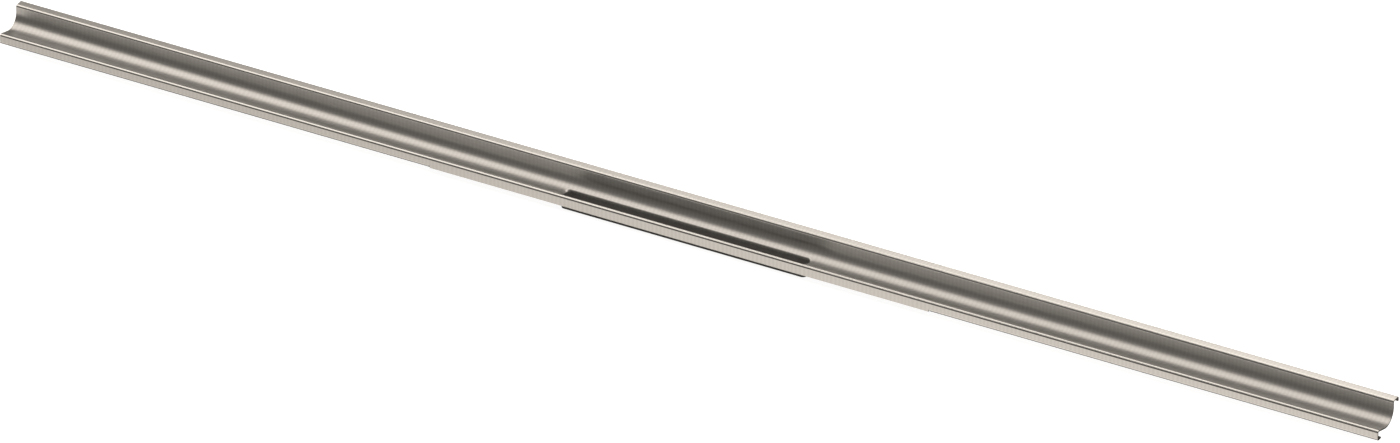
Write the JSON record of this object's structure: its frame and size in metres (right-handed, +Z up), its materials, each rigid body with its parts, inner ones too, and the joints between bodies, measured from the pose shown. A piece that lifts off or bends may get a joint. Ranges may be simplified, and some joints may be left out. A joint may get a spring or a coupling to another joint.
{
  "type": "linear shower drain",
  "caption": "Long folded stainless shower channel with a slot over an outlet spout, a skirt at the floor side and a flange at the wall side.",
  "frame": {"origin": "centre of the outlet spout's lower end", "axes": "+X along the channel, +Y from the floor side to the wall side, +Z up"},
  "size_m": [1.6, 0.045, 0.0379],
  "materials": {
    "brushed_stainless": "brushed across the channel",
    "plain_stainless": "dull mill finish"
  },
  "bodies": {
    "root": {"channel": "brushed_stainless", "outlet_spout": "plain_stainless"}
  },
  "joints": []
}
